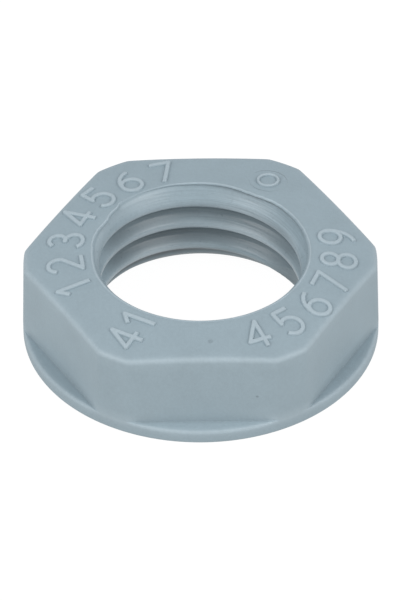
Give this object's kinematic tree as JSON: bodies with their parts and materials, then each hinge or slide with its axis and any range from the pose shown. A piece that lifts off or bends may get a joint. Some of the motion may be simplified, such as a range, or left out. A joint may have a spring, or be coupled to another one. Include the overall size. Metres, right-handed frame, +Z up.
{
  "type": "cable gland locknut",
  "caption": "Hexagon locknut with a round flange and a right-hand internal thread, moulded in one piece of grey polyamide, that clamps a cable gland to a panel.",
  "frame": {"origin": "centre of the flat seating face, on the axis of the thread", "axes": "+Z up the thread's axis, from the seating face to the rim of the bore; one flat of the hexagon faces -Y and a corner points along +X"},
  "size_m": [0.02, 0.02, 0.0055],
  "materials": {
    "polyamide": "matte blue-grey polyamide with a fine eroded mould texture"
  },
  "bodies": {
    "root": {"locknut": "polyamide"}
  },
  "joints": []
}
